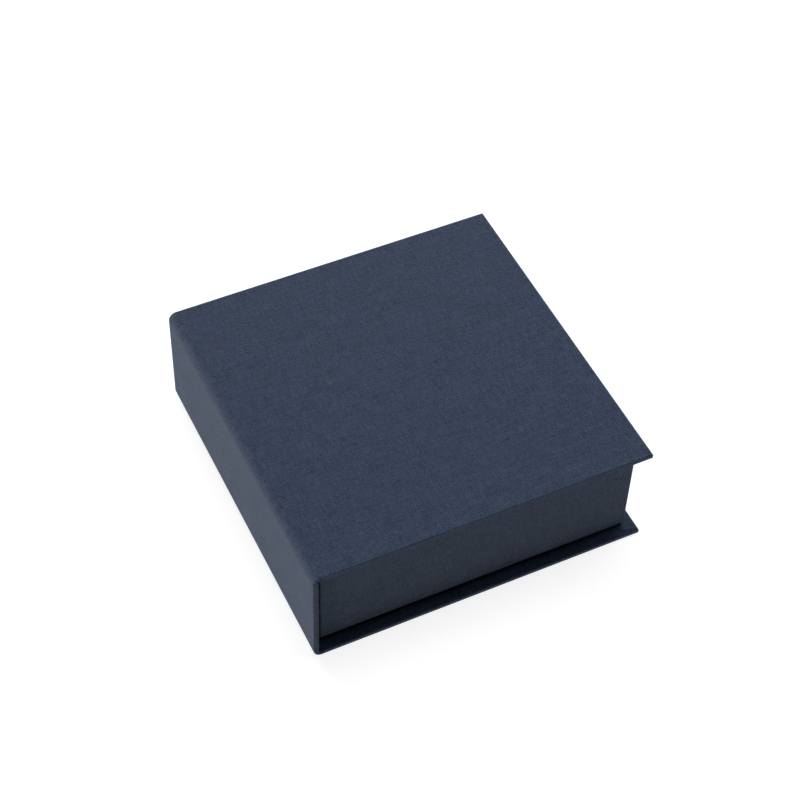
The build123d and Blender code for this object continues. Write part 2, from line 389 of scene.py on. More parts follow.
def lap_height(x, y):
    """How far the fore turn-in stands up where it lies over the turn-in of the tail or head."""
    from_fore = FORE_X - x
    from_end = min(y - TAIL_Y, HEAD_Y - y)
    past = from_end - LAP_EDGE - LAP_SLOPE * from_fore
    over = smooth(past / LAP_SOFTNESS)
    beyond = smooth((from_end - LAP_LENGTH - from_fore) / (5 * LAP_SOFTNESS))
    crease = smooth(1 - abs(past + 0.4 * LAP_LINE) / LAP_LINE)
    off_roll = smooth((from_fore - LAP_START) / LAP_RISE)
    sinking = smooth((from_fore - LAP_END) / LAP_FADE)
    return (LAP_HEIGHT * over * (1 - beyond) - LAP_GROOVE * crease) * off_roll * (1 - sinking)


def on_board(point):
    """The inner skin's (distance in, depth) under a point of a cover's cloth."""
    inset, depth = point
    return max(inset, SHELL), min(max(depth, SHELL), COVERED - SHELL)


def lap_tilt(x, y, inward, step=0.05 * MM):
    """The normal of a cover's inner face, where the lap slopes it."""
    slope_x = (lap_height(x + step, y) - lap_height(x - step, y)) / (2 * step)
    slope_y = (lap_height(x, y + step) - lap_height(x, y - step)) / (2 * step)
    return (-slope_x, -slope_y, inward)


def cover_place(side, x, y, _, along):
    """A place on a cover's flat cloth. On the board's outer face it is (x, y) itself."""
    if side == 1:
        return (FORE_X - FACE_RIM + along, y)
    return (x, TAIL_Y + FACE_RIM - along) if side == 0 else (x, HEAD_Y - FACE_RIM + along)


def add_faces(skin, outer_z, inward, columns_x, rows_y):
    """A cover's two flat faces over the board, and the sheet's edge at the joint."""
    for depth in (0.0, SHELL):
        z = outer_z + inward * depth
        for x, next_x in zip(columns_x, columns_x[1:]):
            for y, next_y in zip(rows_y, rows_y[1:]):
                places = [(x, y), (next_x, y), (next_x, next_y), (x, next_y)]
                skin.face([p + (z,) for p in places], places)
    at_joint = [[(JOINT_X, y, outer_z + inward * depth) for y in rows_y] for depth in (0.0, SHELL)]
    skin.strip(at_joint[0], at_joint[1], [(JOINT_X, y) for y in rows_y])


def case_cover(name, outer_z, inward):
    """The cloth of the base's or the lid's board. inward is +1 where depth runs up, and else -1."""
    skin = Skin()
    edge = end_edge(COVERED, OUTER_ROLL, INNER_ROLL)
    narrow = [(FACE_RIM, 0.0)] + edge + [(d, COVERED) for d in spread(INNER_ROLL, LINER_INSET, 16)[1:]]
    full = narrow + [(d, COVERED) for d in spread(LINER_INSET, LAP_REACH, 30)[1:]]
    full += [(d, COVERED) for d in spread(LAP_REACH, TURN_IN, 4)[1:]]

    def level(x, y, depth):
        lifted = lap_height(x, y) if depth > COVERED - WELD else 0.0
        return outer_z + inward * (depth + lifted)

    def tilt(x, y):
        return lap_tilt(x, y, inward)

    low, high = Vector((FLAP_X, TAIL_Y)), Vector((FORE_X, HEAD_Y))
    plan = Plan(low, high, CORNER, True)
    near = spread(0.0, LAP_SHARE, 60)
    end = spread(0.0, 1 - LAP_SHARE, 5) + [1 - t for t in reversed(near[:-1])]
    fore = near + spread(LAP_SHARE, 1 - LAP_SHARE, 6)[1:] + [1 - t for t in reversed(near[:-1])]
    samples = plan.samples([end, fore, [1 - t for t in reversed(end)]])
    columns = wrap(skin, plan, samples, full, on_board, level, cover_place, tilt)
    for outer, inner, sheet in (columns[0], columns[-1]):
        from_here = len(narrow) - 1
        skin.strip(outer[from_here:], inner[from_here:], sheet[from_here:])
    # beside the liner the turn-in is narrow
    short = Plan(Vector((JOINT_X, TAIL_Y)), Vector((FLAP_X, HEAD_Y)), CORNER, True, square_fore=True)
    for side in (0, 2):
        stretch = [(side, t, None) for t in spread(0.0, 1.0, 4)]
        strips = wrap(skin, short, stretch, narrow, on_board, level, cover_place, tilt)
        outer, inner, sheet = strips[0] if side == 0 else strips[-1]
        skin.strip(outer, inner, sheet)
    columns_x = spread(JOINT_X, FLAP_X, 4) + [plan.point((0, t, None), FACE_RIM)[0] for t in end[1:]]
    rows_y = [plan.point((1, t, None), FACE_RIM)[1] for t in fore]
    add_faces(skin, outer_z, inward, columns_x, rows_y)
    add_nibs(skin, outer_z, inward, 0)
    return skin.make(name)


# ---- Spine and joints ----


def both_ends(edge):
    """An edge at the tail and at the head, as one line of (y, depth) from the inner face at the tail."""
    return [(TAIL_Y + e, n) for e, n in reversed(edge)] + [(HEAD_Y - e, n) for e, n in edge]


def joint_stations(outer_z, inward):
    """Stations round a joint, from the base or the lid to the spine."""
    found = []
    for angle in spread(0.0, 90.0, 20):
        a = math.radians(angle)
        into = Vector((math.sin(a), 0, inward * math.cos(a)))
        origin = Vector((JOINT_X, 0, outer_z + inward * JOINT_RADIUS)) - into * JOINT_RADIUS
        found.append((origin, Vector((0, 1, 0)), into, JOINT_X - JOINT_RADIUS * a))
    return found


def rounding(distance, radius):
    """How far a rounded edge has drawn in at a distance from it."""
    left = radius - min(abs(distance), radius)
    return radius - math.sqrt(radius * radius - left * left)


HEM_END = LINER_INSET - 0.2 * MM  # how far in the folded cloth at the ends of a joint reaches
LINER_SOFT = 0.08 * MM  # rounding of the liner's cut edges


def joint_end(depth, share):
    """How far in the cloth's end lies at a depth, at a share of the way round a joint from its board."""
    middle = math.sin(math.pi * share)
    roll = OUTER_ROLL + (JOINT_ROLL - OUTER_ROLL) * middle
    crease = HAIR + SPINE_CREASE * share + JOINT_CREASE * middle
    return rounding(depth, roll) + rounding(depth - HEM, crease)


def joint_cloth(name, outer_z, inward):
    """The cover where it bends: one thickness, and folded at its ends."""
    skin = Skin()
    stations = joint_stations(outer_z, inward)
    loops = []
    for k in range(len(stations)):
        share = k / (len(stations) - 1)
        depths = [OUTER_ROLL * (1 - math.cos(math.radians(a))) for a in (0, 15, 30, 45, 60, 75)]
        depths += spread(OUTER_ROLL, HEM, 6)
        edge = [(3 * OUTER_ROLL, 0.0)] + [(joint_end(depth, share), depth) for depth in depths]
        edge[1] = (max(edge[1][0], OUTER_ROLL), 0.0)
        loops.append(
            both_ends(edge + [(HEM_END, HEM)])
            + [(HEAD_Y - LINER_INSET, CLOTH), (TAIL_Y + LINER_INSET, CLOTH)]
        )
    skin.sweep(loops, stations)
    return skin.make(name)


def joint_liner(name, outer_z, inward):
    """The liner over the inside of a joint's bend."""
    skin = Skin()
    tail, head = TAIL_Y + LINER_INSET, HEAD_Y - LINER_INSET
    outer, inner = CLOTH + HAIR, 2 * CLOTH
    loop = [(tail, outer), (tail, inner - LINER_SOFT), (tail + LINER_SOFT, inner)]
    loop += [(head - LINER_SOFT, inner), (head, inner - LINER_SOFT), (head, outer)]
    stations = joint_stations(outer_z, inward)
    skin.sweep([loop] * len(stations), stations)
    return skin.make(name)


NIB_RADIUS = 2.75 * MM  # of the fill's inner face, half way round a joint
NIB_BACK = LINER_INSET - 0.05 * MM  # how far in it reaches, just short of the liner


def add_nibs(skin, outer_z, inward, from_angle):
    """The folded cloth that fills both ends of a joint, over the half of it that starts at from_angle.

    The halves part at the middle of the joint when it opens, because each stays with its own board."""
    case_radius = JOINT_RADIUS - COVERED
    for end_y, sign in ((TAIL_Y, 1), (HEAD_Y, -1)):
        rings = []
        for angle in spread(0.0, 45.0, 6):
            thick = JOINT_RADIUS - case_radius - (NIB_RADIUS - case_radius) * smooth(angle / 45)
            share = abs(from_angle - angle) / 90
            section = [(NIB_BACK, HEM - 2 * HAIR)]
            for depth in spread(HEM, thick, 10):
                inner_end = joint_end(depth, share) + rounding(thick - depth, INNER_ROLL)
                section.append((min(inner_end, NIB_BACK), depth))
            section.append((NIB_BACK, thick))
            a = math.radians(90 * share)
            ring = []
            for inset, deep in section:
                r = JOINT_RADIUS - deep
                z = outer_z + inward * (JOINT_RADIUS - r * math.cos(a))
                ring.append((JOINT_X - r * math.sin(a), end_y + sign * inset, z))
            rings.append(ring)
        skin.solid(rings, lean=1)


def spine_cover():
    """The cover of the spine, over its outer face and both ends, and turned in to the liner."""
    skin = Skin()
    outer = both_ends(end_edge(COVERED, OUTER_ROLL, INNER_ROLL, SPINE_CREASE) + [(LINER_INSET, COVERED)])
    back = COVERED - SHELL
    inner = [(HEAD_Y - LINER_INSET, back), (HEAD_Y - SHELL, back), (HEAD_Y - SHELL, SHELL)]
    inner += [(TAIL_Y + SHELL, SHELL), (TAIL_Y + SHELL, back), (TAIL_Y + LINER_INSET, back)]
    first = JOINT_X - JOINT_RADIUS * math.pi / 2
    stations = []
    for z in spread(SPINE_LOW_Z, SPINE_HIGH_Z, 8):
        origin = Vector((SPINE_X, 0, z))
        stations.append((origin, Vector((0, 1, 0)), Vector((1, 0, 0)), first - (z - SPINE_LOW_Z)))
    skin.sweep([outer + inner] * len(stations), stations)
    add_nibs(skin, 0.0, 1, 90)
    add_nibs(skin, TOP_Z, -1, 90)
    return skin.make("spine_cover")


# ---- Hinge liner on the boards ----

FLAP_EDGE = 0.1 * MM  # bevel of the flap's cut end
FLAP_FLAT = 4 * MM  # how far in from there the first corner on its face is
LEG_BACK = 0.2 * MM  # how much further the liner goes down a board's end at its back


def liner(name, loop):
    """A liner's closed loop of (x, z) points, as wide as the liner."""
    skin = Skin()
    stations = []
    for y in spread(TAIL_Y + LINER_INSET, HEAD_Y - LINER_INSET, 12):
        stations.append((Vector((0, y, 0)), Vector((1, 0, 0)), Vector((0, 0, 1)), y))
    skin.sweep([loop] * len(stations), stations)
    return skin.make(name)


def groove_foot(out):
    """How far in from the outer face the liner's bend is, at a distance out from a board's end."""
    return JOINT_RADIUS - math.sqrt((JOINT_RADIUS - 2 * CLOTH) ** 2 - out**2)


def liner_flap(name, outer_z, inward):
    """The liner on a case's inner face, and down the end of its board into the joint."""
    leg_x = JOINT_X - CLOTH
    shown = [(FLAP_X, COVERED - FLAP_EDGE), (FLAP_X - FLAP_EDGE, COVERED)]
    shown += [(x, COVERED) for x in spread(FLAP_X - FLAP_FLAT, leg_x + LINER_FOLD, 3)[:-1]]
    shown += arc((leg_x + LINER_FOLD, COVERED - LINER_FOLD), LINER_FOLD, 90, 180, 4)
    shown.append((leg_x, groove_foot(CLOTH)))
    back_x = JOINT_X - HAIR
    back = [(back_x, groove_foot(0) - LEG_BACK), (back_x, COVERED - SHELL), (FLAP_X, COVERED - SHELL)]
    return liner(name, [(x, outer_z + inward * depth) for x, depth in shown + back])


def spine_liner():
    """The liner on the spine's inner face, and round both ends of its board into the joints."""
    face_x = SPINE_X + COVERED
    leg = SPINE_LOW_Z - CLOTH
    lower = [(SPINE_X + groove_foot(CLOTH), leg)]
    lower += arc((face_x - LINER_FOLD, leg + LINER_FOLD), LINER_FOLD, 270, 360, 4)
    back_z = SPINE_LOW_Z - HAIR
    back = [(face_x - SHELL, back_z), (SPINE_X + groove_foot(0) - LEG_BACK, back_z)]

    def upper(line):
        return [(x, TOP_Z - z) for x, z in reversed(line)]

    return liner("spine_hinge_liner", lower + upper(lower) + upper(back) + back)


# ---- Trays ----

FOOT = 0.15 * MM  # cloth pressed thin where it ends on the floor, under the lining
FOOT_REACH = 0.9 * MM
FOLD = 0.2 * MM
WALL_END_ROUND = 0.5 * MM  # of the spine ends of the lid's walls
WALL_END_SHARE = 0.1 * MM  # how far the cloth of the floor's spine edge runs under them


def wall_profile(top, floor):
    """Cloth round a tray wall, as (distance in, depth below its rim).

    It runs from the turn-in under the floor over the outer face, the rim and the inner face to the floor."""
    line = [(TURN_IN, top), (TURN_IN / 2, top)]
    line += arc((FLANGE_ROLL, top - FLANGE_ROLL), FLANGE_ROLL, 90, 180, 3)
    line += [(0.0, depth) for depth in spread(top - FLANGE_ROLL, RIM_ROLL, 5)[1:-1]]
    line += arc((RIM_ROLL, RIM_ROLL), RIM_ROLL, 180, 270, 6)
    line += arc((COVERED - RIM_ROLL, RIM_ROLL), RIM_ROLL, 270, 360, 6)
    line += [(COVERED, depth) for depth in spread(RIM_ROLL, floor - FOOT - FOLD, 5)[1:-1]]
    line += arc((COVERED + FOLD, floor - FOOT - FOLD), FOLD, 180, 90, 3)
    line.append((COVERED + FOOT_REACH, floor - FOOT))
    return line


def tray_wrap(skin, plan, top, floor, level):
    """The cloth of a tray's walls, as a strip that is carried round them."""
    profile = wall_profile(top, floor)
    middle = COVERED / 2

    def on_wall(point):
        inset, depth = point
        if inset > middle and floor - SHELL < depth < floor:
            return inset, floor - HAIR
        if inset > middle and depth < floor:
            return min(inset, COVERED - SHELL), max(depth, SHELL)
        return max(inset, SHELL), min(max(depth, SHELL), top - SHELL)

    def cloth(_, x, y, walked, along):
        return (walked, along)

    even = spread(0.0, 1.0, 8)
    samples = plan.samples([even] * (3 if plan.is_open else 4))
    columns = wrap(skin, plan, samples, profile, on_wall, level, cloth)
    for a, b in zip(columns, columns[1:]):
        skin.strip([a[0][0], b[0][0]], [a[1][0], b[1][0]], [a[2][0], b[2][0]])
    if plan.is_open:
        for outer, inner, sheet in (columns[0], columns[-1]):
            skin.strip(outer, inner, sheet)
    return profile, columns


def base_tray_cloth():
    """The base's tray: a strip of cloth round four walls."""
    skin = Skin()
    low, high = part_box("base_tray_cloth")
    floor = high.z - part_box("base_tray_floor")[1].z
    plan = Plan(low, high, TRAY_CORNER, False)
    tray_wrap(skin, plan, high.z - low.z, floor, lambda x, y, depth: high.z - depth)
    return skin.make("base_tray_wrap")


def add_wall_end(skin, outline, end_y, sign):
    """The rounded spine end of one of the lid's walls. It stands at end_y, and sign is the way in along Y."""
    low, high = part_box("lid_tray_cloth")
    end_x = low.x + WALL_END_ROUND
    # the outline stops square to the floor under the wall
    foot_z = high.z - 2 * HAIR
    ring = outline + [(end_x, end_y + sign * inset, foot_z) for inset in (COVERED, FLANGE_ROLL)]
    middle_y = end_y + sign * COVERED / 2
    middle_z = low.z + COVERED / 2  # of the rounded rim
    rings = []
    # the first ring is inside the wall's own cloth
    for a in (math.radians(t) for t in (-8, 8, 30, 60, 90)):
        x = end_x - WALL_END_ROUND * math.sin(a)
        narrower = 1 - WALL_END_ROUND * (1 - math.cos(a)) / (COVERED / 2)
        moved = []
        for _, y, z in ring:
            z = middle_z + (z - middle_z) * narrower if z < middle_z else z
            moved.append((x, middle_y + (y - middle_y) * narrower, z))
        rings.append(moved)
    skin.solid(rings, lean=0)


def lid_tray_cloth():
    """The lid's tray: cloth round three walls and over their spine ends, and over the floor's spine edge."""
    skin = Skin()
    low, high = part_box("lid_tray_cloth")
    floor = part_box("lid_tray_floor")[0].z - low.z
    top = high.z - low.z
    plan = Plan(Vector((low.x + WALL_END_ROUND, low.y, low.z)), high, TRAY_CORNER, True)
    profile, columns = tray_wrap(skin, plan, top, floor, lambda x, y, depth: low.z + depth)
    wall = [k for k, (inset, depth) in enumerate(profile) if inset <= COVERED and depth < top]
    add_wall_end(skin, [columns[0][0][k] for k in wall], low.y, 1)
    add_wall_end(skin, [columns[-1][0][k] for k in wall], high.y, -1)
    # the floor's spine edge, from the turn-in on its outer face to the inner face
    edge = [(TURN_IN, top)] + arc((FLANGE_ROLL, top - FLANGE_ROLL), FLANGE_ROLL, 90, 180, 3)
    edge += arc((FOLD, floor - FOOT + FOLD), FOLD, 180, 270, 3) + [(FOOT_REACH, floor - FOOT)]
    under = [(FOOT_REACH, floor - HAIR), (SHELL, floor - HAIR), (SHELL, top - SHELL), (TURN_IN, top - SHELL)]
    inside = COVERED - WALL_END_SHARE
    stations = []
    for y in spread(low.y + inside, high.y - inside, 12):
        stations.append((Vector((low.x, y, low.z)), Vector((1, 0, 0)), Vector((0, 0, 1)), y))
    skin.sweep([edge + under] * len(stations), stations)
    return skin.make("lid_tray_wrap")


# ---- Linings ----

LINING_LAP = 11 * MM  # the turned-in cloth under the paper shows through as a faint step this far in
LINING_RISE = 0.1 * MM
LINING_SOFT = 0.6 * MM  # half the width of that step


def lining(name, node, facing):
    """Lining paper on a tray's floor. facing is +1 where its shown face looks up."""
    low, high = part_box(node)
    back_z, front_z = (low.z, high.z) if facing > 0 else (high.z, low.z)
    back_z += facing * HAIR

    def step_at(place):
        return spread(place - LINING_SOFT, place + LINING_SOFT, 3)

    def steps(a, b):
        return [a] + step_at(a + LINING_LAP) + step_at(b - LINING_LAP) + [b]

    steps_x, steps_y = steps(low.x, high.x), steps(low.y, high.y)

    def raised(x, y):
        inside = min(x - low.x, high.x - x, y - low.y, high.y - y)
        return facing * LINING_RISE * (1 - smooth((inside - LINING_LAP + LINING_SOFT) / (2 * LINING_SOFT)))

    skin = Skin()
    front = [[(x, y, front_z + raised(x, y)) for y in steps_y] for x in steps_x]
    back = [[(x, y, back_z) for y in steps_y] for x in steps_x]
    for layer in (front, back):
        for row, other in zip(layer, layer[1:]):
            skin.strip(row, other, [p[:2] for p in row])
    for turn in (lambda rows: rows, lambda rows: [list(column) for column in zip(*rows)]):
        for k in (0, -1):
            edge = turn(front)[k]
            skin.strip(edge, turn(back)[k], [p[:2] for p in edge])
    return skin.make(name)


# ---- Materials ----


class Tree:
    """Short names for making a material's nodes."""

    def __init__(self, name):
        self.material = bpy.data.materials.new(name)
        self.material.use_nodes = True
        self.nodes = self.material.node_tree.nodes
        self.links = self.material.node_tree.links
        self.shader = self.nodes["Principled BSDF"]

    def feed(self, socket, value):
        if isinstance(value, (int, float, tuple)):
            socket.default_value = value
        else:
            self.links.new(value, socket)

    def math(self, operation, a, b=0.0, c=None):
        node = self.nodes.new("ShaderNodeMath")
        node.operation = operation
        self.feed(node.inputs[0], a)
        self.feed(node.inputs[1], b)
        if c is not None:
            self.feed(node.inputs[2], c)
        return node.outputs[0]

    def cloth_place(self):
        """The cloth's own coordinates, in metres."""
        node = self.nodes.new("ShaderNodeUVMap")
        node.uv_map = "cloth"
        split = self.nodes.new("ShaderNodeSeparateXYZ")
        self.links.new(node.outputs["UV"], split.inputs[0])
        return split.outputs[0], split.outputs[1]

    def solid_place(self):
        """Object coordinates, in metres, for the boards."""
        node = self.nodes.new("ShaderNodeTexCoord")
        split = self.nodes.new("ShaderNodeSeparateXYZ")
        self.links.new(node.outputs["Object"], split.inputs[0])
        return split.outputs[0], split.outputs[1], split.outputs[2]

    def at(self, x, y, z=0.0):
        """A place for a noise. On cloth, z only keeps the noises from being alike."""
        node = self.nodes.new("ShaderNodeCombineXYZ")
        for socket, value in zip(node.inputs, (x, y, z)):
            self.feed(socket, value)
        return node.outputs[0]

    def noise(self, place, scale=1.0, detail=2.0, roughness=0.5):
        node = self.nodes.new("ShaderNodeTexNoise")
        self.links.new(place, node.inputs["Vector"])
        node.inputs["Scale"].default_value = scale
        node.inputs["Detail"].default_value = detail
        node.inputs["Roughness"].default_value = roughness
        return node.outputs["Fac"]

    def random(self, place):
        """A random number from 0 to 1 for each place."""
        node = self.nodes.new("ShaderNodeTexWhiteNoise")
        node.noise_dimensions = "3D"
        self.links.new(place, node.inputs["Vector"])
        return node.outputs["Value"]

    def scaled(self, value, factor):
        return self.math("MULTIPLY", value, factor)

    def total(self, level, *parts):
        """A level with parts added to it, each a value from another node and its weight."""
        for value, weight in parts:
            level = self.math("MULTIPLY_ADD", value, weight, level)
        return level

    def finish(self, colour, roughness, normal, specular):
        """Feeds the shader, and gives the material."""
        self.links.new(colour, self.shader.inputs["Base Color"])
        self.links.new(roughness, self.shader.inputs["Roughness"])
        self.links.new(normal, self.shader.inputs["Normal"])
        self.shader.inputs["Specular IOR Level"].default_value = specular
        return self.material

    def between(self, value, low, high, to_low, to_high):
        node = self.nodes.new("ShaderNodeMapRange")
        self.feed(node.inputs["Value"], value)
        for name, number in (("From Min", low), ("From Max", high), ("To Min", to_low), ("To Max", to_high)):
            node.inputs[name].default_value = number
        return node.outputs["Result"]

    def times(self, colour, factor):
        """A colour made lighter or darker by a factor from another node."""
        node = self.nodes.new("ShaderNodeVectorMath")
        node.operation = "SCALE"
        self.feed(node.inputs[0], colour)
        self.feed(node.inputs["Scale"], factor)
        return node.outputs[0]

    def mixed(self, factor, a, b):
        node = self.nodes.new("ShaderNodeMix")
        node.data_type = "RGBA"
        self.feed(node.inputs["Factor"], factor)
        self.feed(node.inputs["A"], a)
        self.feed(node.inputs["B"], b)
        return node.outputs["Result"]

    def bump(self, height, distance, strength=1.0, after=None):
        node = self.nodes.new("ShaderNodeBump")
        node.inputs["Strength"].default_value = strength
        node.inputs["Distance"].default_value = distance
        self.links.new(height, node.inputs["Height"])
        if after is not None:
            self.links.new(after, node.inputs["Normal"])
        return node.outputs["Normal"]


THREAD = 0.46 * MM  # from one thread to the next


def weave(tree, across, down):
    """A plain weave: its height, from 0 to 1, and 1 where the warp is on top and 0 where the weft is."""

    def thread(over, under, phase):
        """Threads that are round across, and rise and fall by turns with their neighbours."""
        ridge = tree.math("ABSOLUTE", tree.math("SINE", tree.scaled(over, math.pi)))
        step = tree.math("ADD", tree.math("FLOOR", over), phase)
        wave = tree.math("SINE", tree.scaled(tree.math("ADD", under, step), math.pi))
        return tree.math("MULTIPLY", ridge, tree.math("MULTIPLY_ADD", wave, 0.5, 0.5))

    warp = thread(across, down, 0.0)
    weft = thread(down, across, 1.0)
    return tree.math("MAXIMUM", warp, weft), tree.math("GREATER_THAN", warp, weft)


CLOTH_BLOOM = (0.01935, 0.02565, 0.03465)  # step in colour from the middle shade to the palest threads
FLECK_GAIN = 1.4  # how much paler than those a loose fibre is
WANDER = 0.5 * MM  # how far threads stray
THREAD_CHANGES = 90  # of shade, in a metre of thread
SLUB_CHANGES = 240
THREAD_RELIEF = 0.14 * MM
FIBRE_RELIEF = 0.12 * MM

# painted highlight on the covers' rolled edges: paler cloth that stands in for light the roll doesn't get
EDGE_HIGHLIGHT = 0.4
EDGE_HIGHLIGHT_FULL = 0.3 * MM  # how far from the middle of an edge the painted highlight is strongest, and how far it reaches at all
EDGE_HIGHLIGHT_REACH = 0.9 * MM


def painted_edge_highlight(tree, u, v):
    """1 along the rolled outer edges of a case's board, where a painted highlight makes the cloth paler, and
    0 elsewhere.
    """
    past_end = tree.math("SUBTRACT", tree.math("ABSOLUTE", v), HEAD_Y)
    past_fore = tree.math("SUBTRACT", u, FORE_X)
    past = tree.math("ADD", tree.math("MAXIMUM", past_end, past_fore), (1 - math.pi / 4) * OUTER_ROLL)
    return tree.between(tree.math("ABSOLUTE", past), EDGE_HIGHLIGHT_FULL, EDGE_HIGHLIGHT_REACH, 1.0, 0.0)


def book_cloth(name, colour, contrast=1.0, edge_highlight=False):
    """Fine plain-woven book cloth: uneven threads, faint slubs, a dry mottle, a soft bloom of fibre, painted
    shade in the hollows between threads, and if asked a painted highlight on the rolled edges.
    """
    tree = Tree(name)
    deep = tuple(c - contrast * step for c, step in zip(colour, CLOTH_BLOOM))
    pale = tuple(c + contrast * step for c, step in zip(colour, CLOTH_BLOOM))
    u, v = tree.cloth_place()
    drift = tree.noise(tree.at(u, v), scale=60, detail=1)
    drift = tree.total(-WANDER / 2, (drift, WANDER))
    across = tree.scaled(tree.math("ADD", u, drift), 1 / THREAD)
    down = tree.scaled(tree.math("ADD", v, drift), 1 / THREAD)
    height, warp_on_top = weave(tree, across, down)
    # each thread has its own shade, which changes slowly along it, and each crossing has one too
    warp = tree.noise(tree.at(across, tree.scaled(v, THREAD_CHANGES)), scale=1.0, detail=1)
    weft = tree.noise(tree.at(tree.scaled(u, THREAD_CHANGES), down, 7.3), scale=1.0, detail=1)
    crossing = tree.random(tree.at(tree.math("FLOOR", across), tree.math("FLOOR", down)))
    grain = tree.noise(tree.at(u, v, 0.31), scale=1500, detail=2, roughness=0.7)
    mottle = tree.noise(tree.at(u, v, 0.57), scale=70, detail=3, roughness=0.6)
    slub = tree.at(tree.scaled(across, 0.9), tree.scaled(v, SLUB_CHANGES), 2.9)
    slub = tree.between(tree.noise(slub, scale=1.0, detail=0), 0.68, 0.8, 0.0, 1.0)
    fleck = tree.noise(tree.at(u, v, 1.7), scale=900, detail=0)
    fleck = tree.between(fleck, 0.82, 0.9, 0.0, 0.4)
    shade = tree.total(-1.39, (warp, 0.8), (weft, 0.7), (crossing, 0.6), (warp_on_top, 0.1), (grain, 1.1))
    # the height term paints shade into the hollows between the threads, darker where the weave is low
    shade = tree.total(shade, (mottle, 0.1), (height, 0.3), (slub, 0.2))
    # a painted highlight: the cloth is made paler along the rolled outer edges of the covers
    if edge_highlight:
        shade = tree.total(shade, (painted_edge_highlight(tree, u, v), EDGE_HIGHLIGHT))
    base = tree.mixed(shade, deep + (1.0,), pale + (1.0,))
    base = tree.mixed(fleck, base, tuple(FLECK_GAIN * c for c in pale) + (1.0,))
    fibre = tree.bump(grain, FIBRE_RELIEF)
    relief = tree.total(height, (crossing, 0.35), (slub, 0.5))
    tree.shader.inputs["Sheen Weight"].default_value = 0.31
    tree.shader.inputs["Sheen Roughness"].default_value = 0.5
    tree.shader.inputs["Sheen Tint"].default_value = (0.68, 0.78, 1.0, 1.0)
    rough = tree.total(0.88, (height, -0.12), (grain, 0.08))
    return tree.finish(base, rough, tree.bump(relief, THREAD_RELIEF, after=fibre), specular=0.05)


PAPER_TOOTH = 0.02 * MM


def lining_paper(name, colour):
    """Uncoated off-white paper: faint cloudy formation, a few fibres and a soft tooth."""
    tree = Tree(name)
    u, v = tree.cloth_place()
    cloud = tree.noise(tree.at(u, v), scale=160, detail=4, roughness=0.65)
    tooth = tree.noise(tree.at(u, v, 0.4), scale=2600, detail=2)
    fibre = tree.noise(tree.at(tree.scaled(u, 420), tree.scaled(v, 1500), 3.1), scale=1.0, detail=1)
    fibre = tree.between(fibre, 0.7, 0.78, 0.0, 1.0)
    shade = tree.total(0.93, (cloud, 0.1), (tooth, 0.06), (fibre, -0.07))
    rough = tree.total(0.82, (tooth, 0.12))
    return tree.finish(tree.times(colour, shade), rough, tree.bump(tooth, PAPER_TOOTH, 0.5), specular=0.3)


FLECK_COLOUR = (0.12, 0.11, 0.1, 1.0)
BOARD_TOOTH = 0.05 * MM


def grey_board(name, colour):
    """Recycled greyboard: mixed fibres, dark flecks, and layers that show on its edges."""
    tree = Tree(name)
    x, y, z = tree.solid_place()
    place = tree.at(x, y, z)
    pulp = tree.noise(place, scale=350, detail=4, roughness=0.7)
    long_fibre = tree.at(tree.scaled(x, 900), tree.scaled(y, 260), tree.scaled(z, 2600))
    long_fibre = tree.noise(long_fibre, detail=2)
    fleck = tree.between(tree.noise(place, scale=1400, detail=0), 0.68, 0.76, 0.0, 0.5)
    base = tree.times(colour, tree.total(0.72, (pulp, 0.3), (long_fibre, 0.25)))
    base = tree.mixed(fleck, base, FLECK_COLOUR)
    return tree.finish(base, tree.total(0.85, (pulp, 0.1)), tree.bump(pulp, BOARD_TOOTH, 0.5), specular=0.5)


COVER_COLOUR = (0.0199, 0.0313, 0.0612)
TRAY_COLOUR = (0.0199, 0.0311, 0.0585)
LINER_COLOUR = (0.0194, 0.0302, 0.0565)
PAPER_COLOUR = (0.62, 0.60, 0.54)
BOARD_COLOUR = (0.33, 0.31, 0.28)


def finish_piece(piece, material, slot, *nodes):
    piece.data.materials.append(material)
    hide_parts(*nodes)
    return piece


# ---- Camera, floor and light ----

# The camera that was fitted to the box's edges
LENS = 89.82  # mm, for a frame that is 36 mm wide
CAMERA_PLACE = (-0.28073, -0.541611, 0.769097)
CAMERA_TURN = (40.1746, -1.4436, -25.5207)  # degrees


def make_camera():
    data = bpy.data.cameras.new("camera")
    data.lens = LENS
    data.sensor_width = 36.0
    camera = bpy.data.objects.new("camera", data)
    camera.location = CAMERA_PLACE
    camera.rotation_euler = tuple(math.radians(a) for a in CAMERA_TURN)
    bpy.context.scene.collection.objects.link(camera)
    bpy.context.scene.camera = camera


FLOOR_HALF = 12.0  # half its side
FLOOR_DROP = 0.05 * MM  # under the box
FLOOR_COLOUR = (0.3, 0.3, 0.3)
FLOOR_GLOW = 0.82  # it is lit from below as well, like a light table, so the shadows on it stay faint


